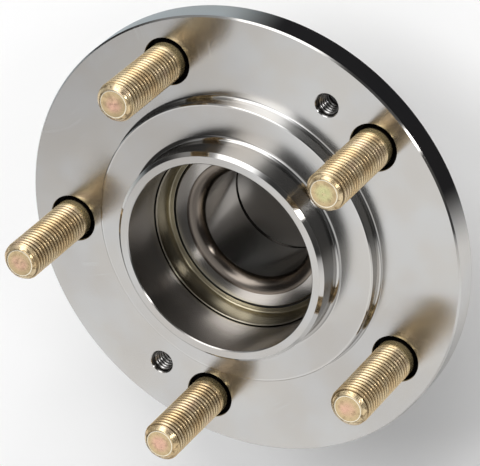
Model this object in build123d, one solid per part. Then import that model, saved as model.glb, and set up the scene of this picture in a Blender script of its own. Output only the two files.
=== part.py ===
from build123d import *
import math
import os

# Rear wheel hub bearing unit with a rotating flanged outer ring.  Millimetres.
# +Z is the hub axis towards the wheel; the origin is the centre of the flange face that the
# brake rotor sits against.  The two inner rings stand still on the spindle.  The flanged hub,
# which is also the bearing's outer ring, turns on two rows of tapered rollers.

# Flange
flange_radius = 69.85
flange_thickness = 9.2
flange_front_chamfer = 0.5
flange_back_chamfer = 1.2

# Pilots on the outboard side
brake_pilot_radius = 44.6
brake_pilot_height = 4.87
brake_pilot_chamfer = 0.3
brake_pilot_fillet = 1.0
wheel_pilot_radius = 33.45
wheel_pilot_height = 14.5
wheel_pilot_chamfer = 1.05
wheel_pilot_fillet = 1.5
cap_bore_radius = 29.9
cap_bore_end = -1.6
cap_bore_chamfer = 0.3

# Barrel behind the flange
barrel_radius = 37.0
barrel_root_radius = 40.0
barrel_root_length = 13.0
barrel_root_taper = 3.0
barrel_root_fillet = 4.0
barrel_chamfer = 1.6
barrel_end = -54.0
seal_seat_radius = 29.5
seat_lead_in_end = -3.2
seat_mouth_chamfer = 0.5

# Wheel studs: M12 x 1.5 on a 114.3 mm circle
stud_count = 5
stud_circle_radius = 57.15
first_stud_angle = 18.0
stud_radius = 6.0
stud_protrusion = 31.8
stud_tip_radius = 4.5
stud_tip_chamfer = 1.5
stud_head_radius = 9.5
stud_head_thickness = 3.6
stud_head_chamfer = 0.6
knurl_radius = 6.33
stud_hole_radius = 6.35
counterbore_radius = 7.15
counterbore_depth = 3.5

# Two tapped M8 holes for the rotor's retaining screws, at their tapping size
screw_hole_radius = 3.4
screw_circle_radius = 56.0
screw_hole_angles = (72.0, 252.0)
screw_hole_chamfer = 0.4

# Inner rings
ring_bore_radius = 17.5
ring_outboard_face = -7.5
ring_split = -31.0
ring_rib_radius = 26.25
ring_rib_chamfer = 0.6
ring_corner_radial = 4.6
ring_corner_axial = 3.3
ring_split_chamfer_radial = 0.9
ring_split_chamfer_axial = 0.6
front_rib_radius = 20.3
front_rib_start = -25.7
front_rib_chamfer = 0.8
rib_flank_depth = 3.6
relief_radius = 21.8
relief_width = 0.8

# Tapered rollers: every roller axis meets the hub axis at the row's apex
rollers_per_row = 18
roller_tilt = 13.0
roller_pitch_radius = 24.45
roller_mean_radius = 3.5
roller_length = 12.5
roller_large_end_z = -13.4
race_clearance = 0.03
rib_clearance = 0.05
centre_land_radius = 25.6

# Pressed cages: a conical sheet just outside the roller axes, with a window for each roller
cage_inner_offset = 1.1
cage_outer_offset = 2.3
cage_large_rim = 1.7
cage_small_rim = 1.5
cage_flange_depth = -1.7
cage_flange_gap = 0.35
pocket_side_gap = 0.12
pocket_end_gap = 0.2

# Seals: sheet cases pressed into the hub, with rubber lips that run on the inner rings' ribs
press_gap = 0.01
lip_clearance = 0.05
case_sheet = 0.7
cup_mouth_z = -1.9
cup_mouth_inner_radius = 29.15
cup_mouth_outer_radius = 29.6
cup_shoulder_z = -3.1
cup_fold_z = -5.9
cup_floor_z = -7.5
cup_floor_radius = 26.5
cup_foot_radius = 27.98
cup_foot_fillet = 0.5
cup_end_z = -9.4
flat_case_face_z = -53.6
flat_case_start_z = -50.5
flat_case_inner_radius = 27.2

# Worked out from the values above
tilt = math.radians(roller_tilt)
roller_half_taper = math.asin(roller_mean_radius * math.sin(tilt) / roller_pitch_radius)
outer_race_slope = math.tan(tilt + roller_half_taper)
inner_race_slope = math.tan(tilt - roller_half_taper)
apex_to_mean = roller_pitch_radius / math.sin(tilt)
apex_to_large_end = apex_to_mean + roller_length / 2
apex_to_small_end = apex_to_mean - roller_length / 2
apex_z = roller_large_end_z - apex_to_large_end * math.cos(tilt)


def on_roller_cone(along, off):
    # The radius and height of a point that lies so far from the apex along a roller's axis,
    # and so far outside that axis.
    radius = along * math.sin(tilt) + off * math.cos(tilt)
    height = apex_z + along * math.cos(tilt) - off * math.sin(tilt)
    return radius, height


def rounded_corner(before, corner, after, radius):
    # The three points of the arc that rounds a corner: tangent on each side, and its middle.
    corner = Vector(*corner)
    toward_before = (Vector(*before) - corner).normalized()
    toward_after = (Vector(*after) - corner).normalized()
    half_angle = math.radians(toward_before.get_angle(toward_after)) / 2
    reach = radius / math.tan(half_angle)
    bisector = (toward_before + toward_after).normalized()
    middle = corner + bisector * (radius / math.sin(half_angle) - radius)
    return corner + toward_before * reach, middle, corner + toward_after * reach


def turned(profile):
    # A ring turned about the hub axis.  Each profile entry is (radius, height), with a third
    # value where that corner is rounded.
    edges = []
    count = len(profile)
    ends = []
    for index, entry in enumerate(profile):
        if len(entry) == 2:
            ends.append((Vector(*entry), Vector(*entry)))
            continue
        before = profile[index - 1][:2]
        after = profile[(index + 1) % count][:2]
        start, middle, finish = rounded_corner(before, entry[:2], after, entry[2])
        edges.append(ThreePointArc(start, middle, finish))
        ends.append((start, finish))
    for index in range(count):
        edges.append(Line(ends[index - 1][1], ends[index][0]))
    return revolve(Plane.XZ * make_face(edges), axis=Axis.Z)


def inboard_copy(shape):
    # The same shape on the other side of the plane where the inner rings meet.
    return mirror(shape, about=Plane.XY.offset(ring_split))


def around(count, radius, first_angle):
    return [
        Rot(Z=first_angle + 360 * index / count) * Pos(X=radius)
        for index in range(count)
    ]


def outer_race_height(radius):
    return apex_z + (radius - race_clearance) / outer_race_slope


def inner_race_radius(height):
    return (height - apex_z) * inner_race_slope - race_clearance


def make_hub():
    # One turned profile: both pilots, flange, barrel, both raceways and the seal seats.
    race_mouth = outer_race_height(seal_seat_radius)
    race_foot = outer_race_height(centre_land_radius)
    root_end = -flange_thickness - barrel_root_length
    body = turned([
        (cap_bore_radius + cap_bore_chamfer, wheel_pilot_height),
        (wheel_pilot_radius - wheel_pilot_chamfer, wheel_pilot_height),
        (wheel_pilot_radius, wheel_pilot_height - wheel_pilot_chamfer),
        (wheel_pilot_radius, brake_pilot_height, wheel_pilot_fillet),
        (brake_pilot_radius - brake_pilot_chamfer, brake_pilot_height),
        (brake_pilot_radius, brake_pilot_height - brake_pilot_chamfer),
        (brake_pilot_radius, 0, brake_pilot_fillet),
        (flange_radius - flange_front_chamfer, 0),
        (flange_radius, -flange_front_chamfer),
        (flange_radius, flange_back_chamfer - flange_thickness),
        (flange_radius - flange_back_chamfer, -flange_thickness),
        (barrel_root_radius, -flange_thickness, barrel_root_fillet),
        (barrel_root_radius, root_end),
        (barrel_radius, root_end - barrel_root_taper),
        (barrel_radius, barrel_end + barrel_chamfer),
        (barrel_radius - barrel_chamfer, barrel_end),
        (seal_seat_radius + seat_mouth_chamfer, barrel_end),
        (seal_seat_radius, barrel_end + seat_mouth_chamfer),
        (seal_seat_radius, 2 * ring_split - race_mouth),
        (centre_land_radius, 2 * ring_split - race_foot),
        (centre_land_radius, race_foot),
        (seal_seat_radius, race_mouth),
        (seal_seat_radius, seat_lead_in_end),
        (cap_bore_radius, cap_bore_end),
        (cap_bore_radius, wheel_pilot_height - cap_bore_chamfer),
    ])
    return body - stud_holes() - screw_holes()


def stud_holes():
    hole = Pos(Z=-flange_thickness / 2) * Cylinder(stud_hole_radius, 2 * flange_thickness)
    counterbore = Cylinder(counterbore_radius, 2 * counterbore_depth)
    tool = hole + counterbore
    return [place * tool for place in around(stud_count, stud_circle_radius, first_stud_angle)]


def screw_holes():
    wide = screw_hole_radius + screw_hole_chamfer
    hole = Pos(Z=-flange_thickness / 2) * Cylinder(screw_hole_radius, 2 * flange_thickness)
    front_mouth = Pos(Z=-screw_hole_chamfer / 2) * Cone(screw_hole_radius, wide, screw_hole_chamfer)
    back_mouth = Pos(Z=screw_hole_chamfer / 2 - flange_thickness) * Cone(
        wide, screw_hole_radius, screw_hole_chamfer
    )
    tool = hole + front_mouth + back_mouth
    return [Rot(Z=angle) * Pos(X=screw_circle_radius) * tool for angle in screw_hole_angles]


def make_stud():
    # Pressed in from behind: head, knurled neck, and the shank at the thread's outer size.
    head_back = -flange_thickness - stud_head_thickness
    return turned([
        (0, head_back),
        (stud_head_radius - stud_head_chamfer, head_back),
        (stud_head_radius, head_back + stud_head_chamfer),
        (stud_head_radius, -flange_thickness),
        (knurl_radius, -flange_thickness),
        (knurl_radius, -counterbore_depth),
        (stud_radius, -counterbore_depth),
        (stud_radius, stud_protrusion - stud_tip_chamfer),
        (stud_tip_radius, stud_protrusion),
        (0, stud_protrusion),
    ])


def make_inner_ring():
    # The outboard ring.  Its thick end carries the rib that guides the rollers' large ends and
    # that the seal lip runs on; its corner at the bore is wide, to clear the spindle's fillet.
    corner_start = (ring_bore_radius + ring_corner_radial, ring_outboard_face)
    corner_end = (ring_bore_radius, ring_outboard_face - ring_corner_axial)
    easing = math.sqrt(0.5)
    corner_middle = (
        corner_start[0] - ring_corner_radial * easing,
        corner_end[1] + ring_corner_axial * easing,
    )
    flank_foot = on_roller_cone(apex_to_large_end + rib_clearance, -rib_flank_depth)
    flank_top = on_roller_cone(apex_to_large_end + rib_clearance, 0)
    race_end = flank_foot[1] - relief_width
    outline = Polyline(
        corner_end,
        (ring_bore_radius, ring_split + ring_split_chamfer_axial),
        (ring_bore_radius + ring_split_chamfer_radial, ring_split),
        (front_rib_radius - front_rib_chamfer, ring_split),
        (front_rib_radius, ring_split + front_rib_chamfer),
        (front_rib_radius, front_rib_start),
        (inner_race_radius(front_rib_start), front_rib_start),
        (inner_race_radius(race_end), race_end),
        (relief_radius, race_end + relief_width / 4),
        (relief_radius, flank_foot[1] + relief_width / 8),
        flank_foot,
        flank_top,
        (ring_rib_radius, flank_top[1] + 0.4),
        (ring_rib_radius, ring_outboard_face - ring_rib_chamfer),
        (ring_rib_radius - ring_rib_chamfer, ring_outboard_face),
        corner_start,
    )
    corner = ThreePointArc(corner_start, corner_middle, corner_end)
    return revolve(Plane.XZ * make_face([outline, corner]), axis=Axis.Z)


def roller_places():
    # Where each roller's middle lies, with its own Z along the roller's axis.
    radius, height = on_roller_cone(apex_to_mean, 0)
    lean = Pos(X=radius, Z=height) * Rot(Y=roller_tilt)
    return [
        Rot(Z=360 * index / rollers_per_row) * lean
        for index in range(rollers_per_row)
    ]


def tapered_roller(extra_radius, extra_length):
    length = roller_length + 2 * extra_length
    small = (apex_to_mean - length / 2) * math.tan(roller_half_taper) + extra_radius
    large = (apex_to_mean + length / 2) * math.tan(roller_half_taper) + extra_radius
    return Cone(small, large, length)


def make_cage():
    # A conical sheet with an inward flange at its small end and one window for each roller.
    large_rim = apex_to_large_end + cage_large_rim
    small_rim = apex_to_small_end - cage_small_rim
    flange_face = apex_to_small_end - cage_flange_gap
    sheet = turned([
        on_roller_cone(small_rim, cage_outer_offset),
        on_roller_cone(large_rim, cage_outer_offset),
        on_roller_cone(large_rim, cage_inner_offset),
        on_roller_cone(flange_face, cage_inner_offset),
        on_roller_cone(flange_face, cage_flange_depth),
        on_roller_cone(small_rim, cage_flange_depth),
    ])
    window = tapered_roller(pocket_side_gap, pocket_end_gap)
    return sheet - [place * window for place in roller_places()]


def make_outboard_seal_case():
    # A folded sheet cup, open towards the wheel: press wall, tapered inner wall and floor.
    wall = seal_seat_radius - press_gap
    floor_back = cup_floor_z - case_sheet
    return turned([
        (cup_mouth_inner_radius, cup_mouth_z),
        (cup_mouth_outer_radius, cup_mouth_z),
        (wall, cup_shoulder_z),
        (wall, cup_end_z),
        (wall - case_sheet, cup_end_z),
        (wall - case_sheet, cup_fold_z),
        (cup_foot_radius + case_sheet / 2, floor_back),
        (cup_floor_radius, floor_back),
        (cup_floor_radius, cup_floor_z),
        (cup_foot_radius, cup_floor_z, cup_foot_fillet),
    ])


def make_outboard_seal_lip():
    # Rubber moulded to the back of the cup's floor: a dust lip and a main lip on the rib.
    tip = ring_rib_radius + lip_clearance
    back = cup_floor_z - case_sheet
    return turned([
        (cup_foot_radius + 0.3, back),
        (cup_foot_radius + 0.3, back - 0.7),
        (cup_foot_radius - 0.5, back - 1.1),
        (tip + 0.65, back - 3.1),
        (tip, back - 2.4),
        (tip + 0.5, back - 1.4),
        (tip, back - 0.4),
        (tip + 0.3, back),
    ])


def make_inboard_seal_case():
    # An L-shaped pressing, its flat side towards the vehicle.
    wall = seal_seat_radius - press_gap
    return turned([
        (wall, flat_case_start_z),
        (wall, flat_case_face_z),
        (flat_case_inner_radius, flat_case_face_z),
        (flat_case_inner_radius, flat_case_face_z + case_sheet),
        (wall - case_sheet, flat_case_face_z + case_sheet),
        (wall - case_sheet, flat_case_start_z),
    ])


def make_inboard_seal_lip():
    # Rubber round the inner edge of the flat case, with the main lip turned into the bearing.
    tip = ring_rib_radius + lip_clearance
    back = flat_case_face_z + case_sheet
    return turned([
        (flat_case_inner_radius + 1.3, back),
        (flat_case_inner_radius + 1.3, back + 0.7),
        (flat_case_inner_radius + 0.3, back + 1.1),
        (tip + 0.65, back + 2.0),
        (tip, back + 1.4),
        (tip + 0.5, back + 0.5),
        (tip, back - 0.3),
        (tip + 0.3, flat_case_face_z),
        (flat_case_inner_radius, flat_case_face_z),
        (flat_case_inner_radius, back),
    ])


def save(shape, node):
    shape.label = node
    export_step(shape, "parts/" + node + ".step")


os.makedirs("parts", exist_ok=True)

save(make_hub(), "hub_flange")

stud = make_stud()
for index, place in enumerate(around(stud_count, stud_circle_radius, first_stud_angle)):
    save(place * stud, f"wheel_stud_{index + 1}")

inner_ring = make_inner_ring()
save(inner_ring, "inner_ring_outboard")
save(inboard_copy(inner_ring), "inner_ring_inboard")

cage = make_cage()
save(cage, "roller_cage_outboard")
save(inboard_copy(cage), "roller_cage_inboard")

roller = tapered_roller(0, 0)
for index, place in enumerate(roller_places()):
    placed = place * roller
    save(placed, f"roller_outboard_{index + 1:02d}")
    save(inboard_copy(placed), f"roller_inboard_{index + 1:02d}")

save(make_outboard_seal_case(), "seal_case_outboard")
save(make_outboard_seal_lip(), "seal_lip_outboard")
save(make_inboard_seal_case(), "seal_case_inboard")
save(make_inboard_seal_lip(), "seal_lip_inboard")
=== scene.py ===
import math

import bmesh
import bpy
import numpy as np
from mathutils import Matrix, Vector
from mathutils.geometry import delaunay_2d_cdt


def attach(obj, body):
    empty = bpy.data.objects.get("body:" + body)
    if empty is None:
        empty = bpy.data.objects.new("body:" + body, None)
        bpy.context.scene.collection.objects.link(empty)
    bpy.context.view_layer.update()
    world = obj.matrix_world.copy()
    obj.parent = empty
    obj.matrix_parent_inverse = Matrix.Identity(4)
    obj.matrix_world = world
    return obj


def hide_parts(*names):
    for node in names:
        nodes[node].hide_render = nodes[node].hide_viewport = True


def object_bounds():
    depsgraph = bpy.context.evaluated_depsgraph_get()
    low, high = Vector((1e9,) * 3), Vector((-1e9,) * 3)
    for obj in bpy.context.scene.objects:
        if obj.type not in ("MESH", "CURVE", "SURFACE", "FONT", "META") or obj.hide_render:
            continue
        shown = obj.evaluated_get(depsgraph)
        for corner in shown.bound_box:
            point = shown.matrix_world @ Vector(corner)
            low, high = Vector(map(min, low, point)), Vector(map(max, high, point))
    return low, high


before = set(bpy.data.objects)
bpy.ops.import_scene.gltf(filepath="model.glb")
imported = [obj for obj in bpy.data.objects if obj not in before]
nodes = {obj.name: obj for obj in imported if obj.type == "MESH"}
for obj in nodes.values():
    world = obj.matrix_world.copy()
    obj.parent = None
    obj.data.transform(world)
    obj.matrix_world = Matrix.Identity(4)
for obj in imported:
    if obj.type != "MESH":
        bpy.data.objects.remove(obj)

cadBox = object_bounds()
mm = 0.001

# Where the studs and the screw holes sit round the hub axis: the radius of the circle they are on
# in millimetres, and their angles in degrees, evenly spaced.
pattern = {
    "studs": (57.15, [18, 90, 162, 234, 306]),
    "screws": (56.0, [72, 252]),
}


def holeCentres(kind, unit=1.0):
    circle, angles = pattern[kind]
    return [(circle * unit * math.cos(turn), circle * unit * math.sin(turn))
            for turn in radians(angles)]


def radians(angles):
    return [math.radians(angle) for angle in angles]


def newObject(name, data):
    thing = bpy.data.objects.new(name, data)
    bpy.context.scene.collection.objects.link(thing)
    return thing


# Camera: it looks down on the wheel side of the hub, well off the axis and rolled.
camera = {
    "target": (0.928 * mm, -1.120 * mm, -0.405 * mm),
    "distance": 1012.845 * mm,
    "azimuth": -119.712,
    "elevation": 51.733,
    "roll": -132.511,
    "lens": 259.862,
}


def direction(azimuth, elevation):
    a, e = radians((azimuth, elevation))
    return Vector((math.cos(e) * math.cos(a), math.cos(e) * math.sin(a), math.sin(e)))


def setCamera():
    back = direction(camera["azimuth"], camera["elevation"])
    level = Vector((0, 0, 1)).cross(back).normalized()
    upright = back.cross(level)
    roll = math.radians(camera["roll"])
    right = level * math.cos(roll) + upright * math.sin(roll)
    data = bpy.data.cameras.new("camera")
    data.lens = camera["lens"]
    data.sensor_fit = "HORIZONTAL"
    data.sensor_width = 36.0
    data.clip_start = 0.05
    data.clip_end = 50.0
    eye = newObject("camera", data)
    where = Vector(camera["target"]) + back * camera["distance"]
    turn = Matrix((right, back.cross(right), back)).transposed()
    eye.matrix_world = Matrix.Translation(where) @ turn.to_4x4()
    bpy.context.scene.camera = eye


setCamera()


# Short calls for adding and wiring shader nodes in one tree.
class Sheet:
    def __init__(self, tree):
        self.tree = tree

    def add(self, kind, values={}, **settings):
        # A new node with these settings, and its inputs fed from {input: value}.
        node = self.tree.nodes.new(kind)
        for name, value in settings.items():
            setattr(node, name, value)
        self.send(node.inputs, values)
        return node

    def feed(self, socket, value):
        if isinstance(value, (int, float)):
            socket.default_value = value
        elif isinstance(value, tuple):
            socket.default_value = (*value, 1.0)[:len(socket.default_value)]
        else:
            self.tree.links.new(value, socket)

    def send(self, sockets, values):
        for name, value in values.items():
            if value is not None:
                self.feed(sockets[name], value)

    def math(self, operation, a, b=None, clamp=False):
        node = self.add("ShaderNodeMath", {0: a, 1: b}, operation=operation, use_clamp=clamp)
        return node.outputs[0]

    def times(self, a, b):
        return self.math("MULTIPLY", a, b)

    def plus(self, a, b):
        return self.math("ADD", a, b)

    def minus(self, a, b):
        return self.math("SUBTRACT", a, b)

    def most(self, first, *others):
        for value in others:
            first = self.math("MAXIMUM", first, value)
        return first

    def parts(self, place):
        return self.add("ShaderNodeSeparateXYZ", {0: place}).outputs

    def length(self, x, y):
        return self.math("SQRT", self.plus(self.times(x, x), self.times(y, y)))

    def distance(self, place, point):
        node = self.add("ShaderNodeVectorMath", {0: place, 1: point}, operation="DISTANCE")
        return node.outputs["Value"]

    def rise(self, value, low, high):
        # 0 below low, 1 above high, a smooth step between.
        limits = {"Value": value, "From Min": low, "From Max": high}
        node = self.add("ShaderNodeMapRange", limits, interpolation_type="SMOOTHSTEP")
        return node.outputs["Result"]

    def fall(self, value, low, high):
        # 1 below low, 0 above high.
        return self.minus(1.0, self.rise(value, low, high))

    def band(self, value, low, high, soft):
        # 1 between low and high, with soft edges.
        inner = self.rise(value, low - soft, low)
        outer = self.rise(value, high, high + soft)
        return self.math("SUBTRACT", inner, outer, clamp=True)

    def noise(self, vector=None, w=None, scale=1.0, detail=2.0):
        values = {"Vector": vector, "W": w, "Scale": scale, "Detail": detail}
        node = self.add("ShaderNodeTexNoise", values, noise_dimensions="3D" if w is None else "1D")
        return node.outputs["Fac"]

    def spots(self, vector, scale, detail, low, high):
        # Patches of a noise: 0 where it is under low, 1 where it is over high.
        return self.rise(self.noise(vector=vector, scale=scale, detail=detail), low, high)

    def mix(self, factor, a, b):
        # Two colours; lerp is the same for two numbers.
        return self.add("ShaderNodeMix", {0: factor, 6: a, 7: b}, data_type="RGBA").outputs[2]

    def lerp(self, factor, a, b):
        return self.add("ShaderNodeMix", {0: factor, 2: a, 3: b}, data_type="FLOAT").outputs[0]

    def over(self, blend, base, *coats):
        # Each coat is (mask, value), laid over what is below by mix or lerp.
        for mask, value in coats:
            base = blend(mask, base, value)
        return base

    def finish(self, shader, colour, roughness):
        self.feed(shader.inputs["Base Color"], colour)
        self.feed(shader.inputs["Roughness"], roughness)

    def turned(self, shader, amount):
        # The lobe is drawn out across the lathe marks: the tangent runs round the hub axis, and a
        # quarter turn lays the long side of the lobe across it.
        x, y = self.parts(self.add("ShaderNodeTexCoord").outputs["Object"])[:2]
        around = self.add("ShaderNodeCombineXYZ", {0: self.times(y, -1.0), 1: x}).outputs[0]
        tangent = self.add("ShaderNodeVectorTransform", {0: around}, vector_type="VECTOR",
                           convert_from="OBJECT", convert_to="WORLD")
        self.feed(shader.inputs["Tangent"], tangent.outputs[0])
        self.feed(shader.inputs["Anisotropic"], amount)
        shader.inputs["Anisotropic Rotation"].default_value = 0.25

    def bump(self, shader, *layers):
        # Each layer is (height, strength, distance); one bump feeds the next.
        below = None
        for height, strength, distance in layers:
            below = self.add("ShaderNodeBump", {"Strength": strength, "Distance": distance,
                                                "Height": height, "Normal": below}).outputs[0]
        self.feed(shader.inputs["Normal"], below)

    def group(self, tree, **values):
        return self.add("ShaderNodeGroup", values, node_tree=tree).outputs


def newGroup(name, inputs, outputs):
    # Inputs are (name, kind, default) and outputs (name, kind).
    tree = bpy.data.node_groups.new(name, "ShaderNodeTree")
    for label, kind, default in inputs:
        socket = tree.interface.new_socket(label, in_out="INPUT", socket_type=kind)
        if default is not None:
            socket.default_value = default
    for label, kind in outputs:
        tree.interface.new_socket(label, in_out="OUTPUT", socket_type=kind)
    sheet = Sheet(tree)
    return tree, sheet, sheet.add("NodeGroupInput").outputs, sheet.add("NodeGroupOutput").inputs


number, vector = "NodeSocketFloat", "NodeSocketVector"


def makeAxisPlace():
    # Distance from the hub axis, height along it, and their sum, which runs on over every
    # turned face.
    tree, sheet, _, put = newGroup("axisPlace", [], [
        ("Radius", number), ("Height", number), ("Along", number), ("Place", vector)])
    place = sheet.add("ShaderNodeTexCoord").outputs["Object"]
    x, y, z = sheet.parts(place)
    radius = sheet.length(x, y)
    sheet.send(put, {"Radius": radius, "Height": z, "Along": sheet.plus(radius, z), "Place": place})
    return tree


def makeHolePlace():
    # Distance from the axis of the nearest of a ring of holes: the angle round the hub is folded
    # into one sector, and the place in that sector is measured from the hole's centre.
    tree, sheet, given, put = newGroup("holePlace", [
        ("Circle", number, 0.05), ("First", number, 0.0), ("Sector", number, 1.0)], [
        ("Distance", number)])
    x, y = sheet.parts(sheet.add("ShaderNodeTexCoord").outputs["Object"])[:2]
    radius = sheet.length(x, y)
    angle = sheet.minus(sheet.math("ARCTAN2", y, x), given["First"])
    steps = sheet.math("ROUND", sheet.math("DIVIDE", angle, given["Sector"]))
    folded = sheet.minus(angle, sheet.times(steps, given["Sector"]))
    across = sheet.times(radius, sheet.math("SINE", folded))
    outward = sheet.minus(sheet.times(radius, sheet.math("COSINE", folded)), given["Circle"])
    sheet.send(put, {"Distance": sheet.length(across, outward)})
    return tree


# Marks that the metals share.  A noise is (scale, detail), and spots add the two levels that they
# rise between.
marking = {
    "pitches": [(9000.0, 2.0), (1500.0, 3.0), (240.0, 1.0)],
    "shares": [0.45, 0.35, 0.2],
    "cloud": (55.0, 4.0),
    "scratchWidth": 0.004,
    "scratchGate": (170.0, 1.0, 0.60, 0.68),
    "stain": (22.0, 3.0, 0.40, 0.66),
    "lineHeight": 0.02 * mm,
    "scratchHeight": 0.01 * mm,
}


def makeLatheMarks():
    # Concentric tool marks: noise read along the turned profile at three pitches, and a soft cloud.
    tree, sheet, given, put = newGroup("latheMarks", [
        ("Along", number, 0.0), ("Place", vector, None)], [
        ("Lines", number), ("Cloud", number), ("Fine", number)])
    found = [sheet.noise(w=given["Along"], scale=scale, detail=detail)
             for scale, detail in marking["pitches"]]
    fine, coarse, broad = [sheet.times(noise, share)
                           for noise, share in zip(found, marking["shares"])]
    scale, detail = marking["cloud"]
    cloud = sheet.noise(vector=given["Place"], scale=scale, detail=detail)
    sheet.send(put, {"Lines": sheet.plus(fine, sheet.plus(coarse, broad)), "Fine": found[0],
                     "Cloud": cloud})
    return tree


def makeHandling():
    # Marks of handling: thin curved scratches where a slow noise crosses its middle, kept to a few
    # patches, and faint stains.
    tree, sheet, given, put = newGroup("handling", [
        ("Place", vector, None), ("Scale", number, 90.0)], [
        ("Scratch", number), ("Stain", number)])
    warp = sheet.noise(vector=given["Place"], scale=given["Scale"], detail=1.0)
    middle = sheet.math("ABSOLUTE", sheet.minus(warp, 0.5))
    thin = sheet.fall(middle, 0.0, marking["scratchWidth"])
    gate = sheet.spots(given["Place"], *marking["scratchGate"])
    sheet.send(put, {"Scratch": sheet.times(thin, gate),
                     "Stain": sheet.spots(given["Place"], *marking["stain"])})
    return tree


def placed(sheet):
    # Where on the part, and the tool marks there.
    place = sheet.group(axisPlace)
    return place, sheet.group(latheMarks, Along=place["Along"], Place=place["Place"])


def fromNearest(sheet, kind):
    # Distance from the axis of the nearest stud or screw hole.
    circle, angles = pattern[kind]
    return sheet.group(holePlace, Circle=circle * mm, First=math.radians(angles[0]),
                       Sector=2 * math.pi / len(angles))["Distance"]


print("shader groups")
axisPlace = makeAxisPlace()
holePlace = makeHolePlace()
latheMarks = makeLatheMarks()
handling = makeHandling()


def newMetal(name, metallic=1.0):
    material = bpy.data.materials.new(name)
    material.use_nodes = True
    shader = material.node_tree.nodes["Principled BSDF"]
    shader.inputs["Metallic"].default_value = metallic
    return material, Sheet(material.node_tree), shader


def give(material, *names):
    for name in names:
        slots = nodes[name].data.materials
        slots.clear()
        slots.append(material)


# Hub: satin ground faces, brighter turned bands on the pilots and rim, a bore and pilot wall
# painted darker as shade, painted black shade in the gap, counterbores and thread roots, and
# painted highlights on the thread crests.
hubSteel = {
    "face": (0.625, 0.622, 0.615),
    "faceWarm": (0.622, 0.602, 0.572),
    # painted shade: the wheel pilot's wall is coloured darker so that what it mirrors comes out dim
    "wall": (0.36, 0.355, 0.345),
    # painted shade: the bore's colour is darkened for the shade inside it
    "bore": (0.50, 0.475, 0.455),
    # painted shade: near black in the gap between the bore and the seal rim
    "gapShade": (0.012, 0.011, 0.010),
    "back": (0.52, 0.51, 0.495),
    "stain": (0.33, 0.285, 0.25),
    "stainAmount": 0.16,
    "lineShade": (0.50, 0.485, 0.465),
    "lineAmount": 0.10,
    "scuff": (0.80, 0.80, 0.79),
    "scuffCentre": (78 * mm, -30 * mm, 0),
    "scuffAmount": 0.22,
    "scuffInside": (47 * mm, 49 * mm),
    "scuffPatch": (48.0, 2.0, 0.60, 0.68),
    "scuffArcs": 620.0,
    "scuffArcEdge": (0.58, 0.66),
    "warmEdge": (0.35, 0.65),
    "lineEdge": (0.40, 0.60),
    # painted shade: near black in the counterbores and stud holes
    "counterbore": (0.016, 0.014, 0.013),
    # painted highlight on the thread crests and painted shade in the thread roots
    "threadCrestHighlight": (0.72, 0.71, 0.70),
    "threadRootShade": (0.10, 0.095, 0.09),
    "rimBand": (69.25 * mm, 69.4 * mm),
    "brakeBand": (43.9 * mm, 45.55 * mm, 0.1 * mm),
    "wheelBand": (32.4 * mm, 34.9 * mm, 0.1 * mm),
    "boreWall": (29.92 * mm, 30.0 * mm),
    "backLevel": (-9.19 * mm, -9.1 * mm),
    "backInside": (30.5 * mm, 31.0 * mm),
    "wallRadius": (33.3 * mm, 33.6 * mm, 0.06 * mm),
    "wallHeight": (5.4 * mm, 13.2 * mm, 0.3 * mm),
    "gapShadeHeight": (-3.3 * mm, -1.62 * mm, 0.05 * mm),
    "pocketEdge": (7.30 * mm, 7.36 * mm),
    "pocketTop": (-0.5 * mm, -0.15 * mm),
    "tappedEdge": (3.6 * mm, 3.7 * mm),
    "tappedTop": (-0.3 * mm, -0.1 * mm),
    "threadRise": (3.06 * mm, 3.26 * mm),
    "faceRoughness": 0.21,
    "bandRoughness": 0.10,
    "boreRoughness": 0.24,
    "backRoughness": 0.30,
    "pocketRoughness": 0.5,
    "tappedRoughness": 0.30,
    "scuffRoughness": 0.34,
    "scuffDulling": 0.3,
    "cloudRoughness": 0.05,
    "drawnOut": 0.75,
    "faceLines": 0.05,
    "bandLines": 0.22,
    "backLines": 0.6,
    "boreLines": 0.14,
    "scratches": 0.12,
}


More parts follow.
